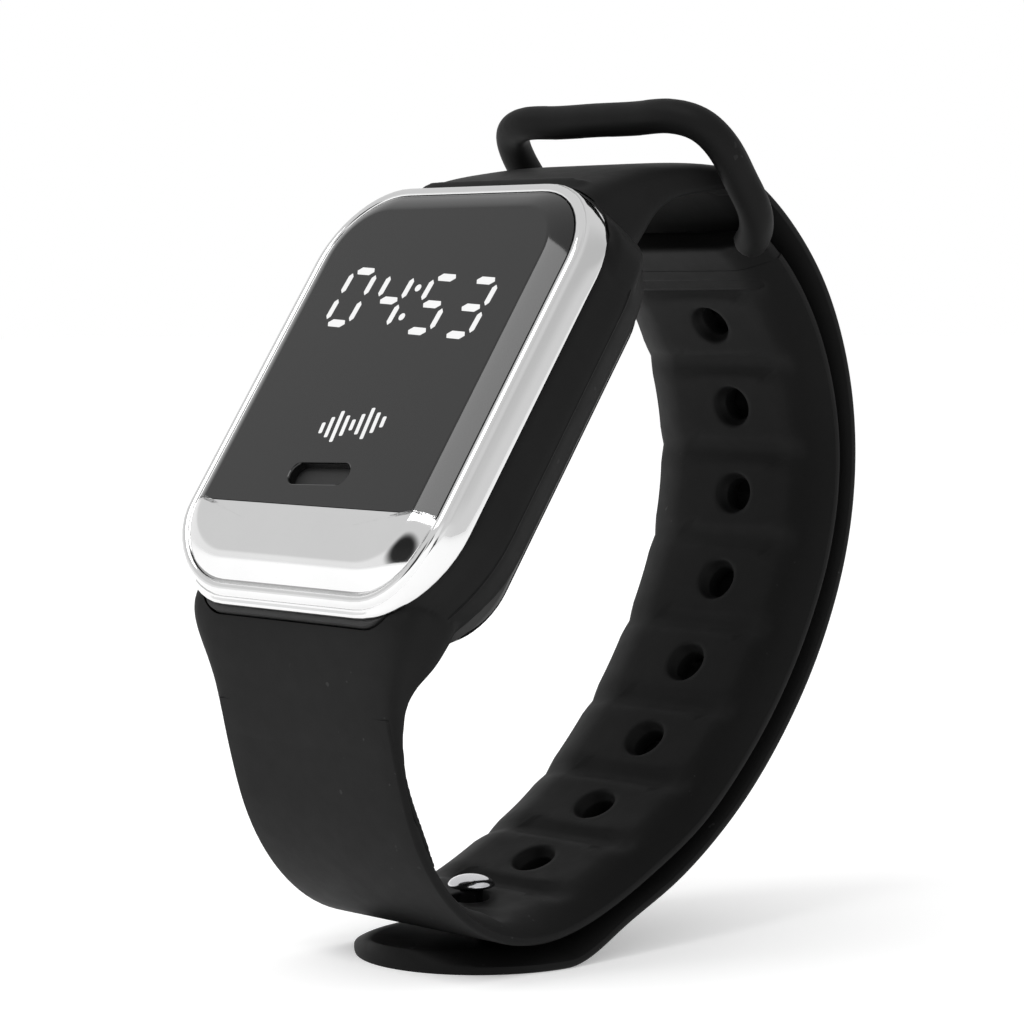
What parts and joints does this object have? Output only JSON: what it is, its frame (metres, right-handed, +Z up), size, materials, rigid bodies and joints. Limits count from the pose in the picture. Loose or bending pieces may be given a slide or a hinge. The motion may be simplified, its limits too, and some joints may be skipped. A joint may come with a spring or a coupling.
{
  "type": "digital wristband watch",
  "caption": "Silicone wristband watch closed into a ring: glossy lens with lit digits, chrome bezel, holed strap with loop, stud-fastened tail.",
  "frame": {"origin": "on the floor plane, under the middle of the bounding box", "axes": "X across the strap, +Y from the watch face side to the back of the ring, +Z up; the ring stands on the flat end of its tail"},
  "size_m": [0.0294, 0.0506, 0.0628],
  "materials": {
    "silicone": "matt moulded silicone",
    "chrome": "polished plating",
    "lens": "smoked acrylic, polished",
    "case_black": "fine satin",
    "cover_black": "polished",
    "seal": "matt",
    "board_green": "solder mask, satin",
    "board_black": "solder mask, matt",
    "shield_black": "matt",
    "lit_diffuser": "milky, lit from behind",
    "unlit_diffuser": "smoked",
    "led": "clear resin",
    "chip": "moulded resin",
    "steel": "polished",
    "gold": "gold plated",
    "battery_wrap": "foil pouch",
    "mesh": "blackened woven mesh"
  },
  "bodies": {
    "band": {"frame": "silicone", "neck": "silicone", "holed_strap": "silicone", "tail_base": "silicone"},
    "watch_head": {"bezel": "chrome", "chin": "chrome", "lens": "lens", "case": "case_black", "back_cover": "cover_black", "lens_seal": "seal", "back_seal": "seal", "circuit_board": "board_green", "display_board": "board_black", "light_shield": "shield_black", "lit_segments": "lit_diffuser", "dark_segments": "unlit_diffuser", "sound_symbol": "lit_diffuser", "led_chips": "led", "controller_chip": "chip", "timing_crystal": "steel", "battery": "battery_wrap", "sounder": "gold", "slot_mesh": "mesh", "board_screws": "steel", "charge_contacts": "gold"},
    "tail_upper": {"tail_upper": "silicone"},
    "tail_middle": {"tail_middle": "silicone"},
    "tail_end": {"tail_end": "silicone", "stud": "steel", "stud_base": "steel"}
  },
  "joints": [
    {"name": "head_release", "type": "slide", "parent": "band", "child": "watch_head", "axis": [0, -0.8256, 0.5642], "range_m": [0, 0.014]},
    {"name": "tail_bend_upper", "type": "hinge", "parent": "band", "child": "tail_upper", "pos_m": [0, 0.01999, 0.0189], "axis": [1, 0, 0], "range_deg": [0, 6]},
    {"name": "tail_bend_middle", "type": "hinge", "parent": "tail_upper", "child": "tail_middle", "pos_m": [0, 0.01354, 0.01085], "axis": [1, 0, 0], "range_deg": [0, 18]},
    {"name": "tail_bend_end", "type": "hinge", "parent": "tail_middle", "child": "tail_end", "pos_m": [0, 0.00489, 0.0045], "axis": [1, 0, 0], "range_deg": [0, 60]}
  ],
  "couplings": [
    {"joint": "tail_bend_middle", "follows": "tail_bend_end", "ratio": 0.3},
    {"joint": "tail_bend_upper", "follows": "tail_bend_end", "ratio": 0.1}
  ]
}
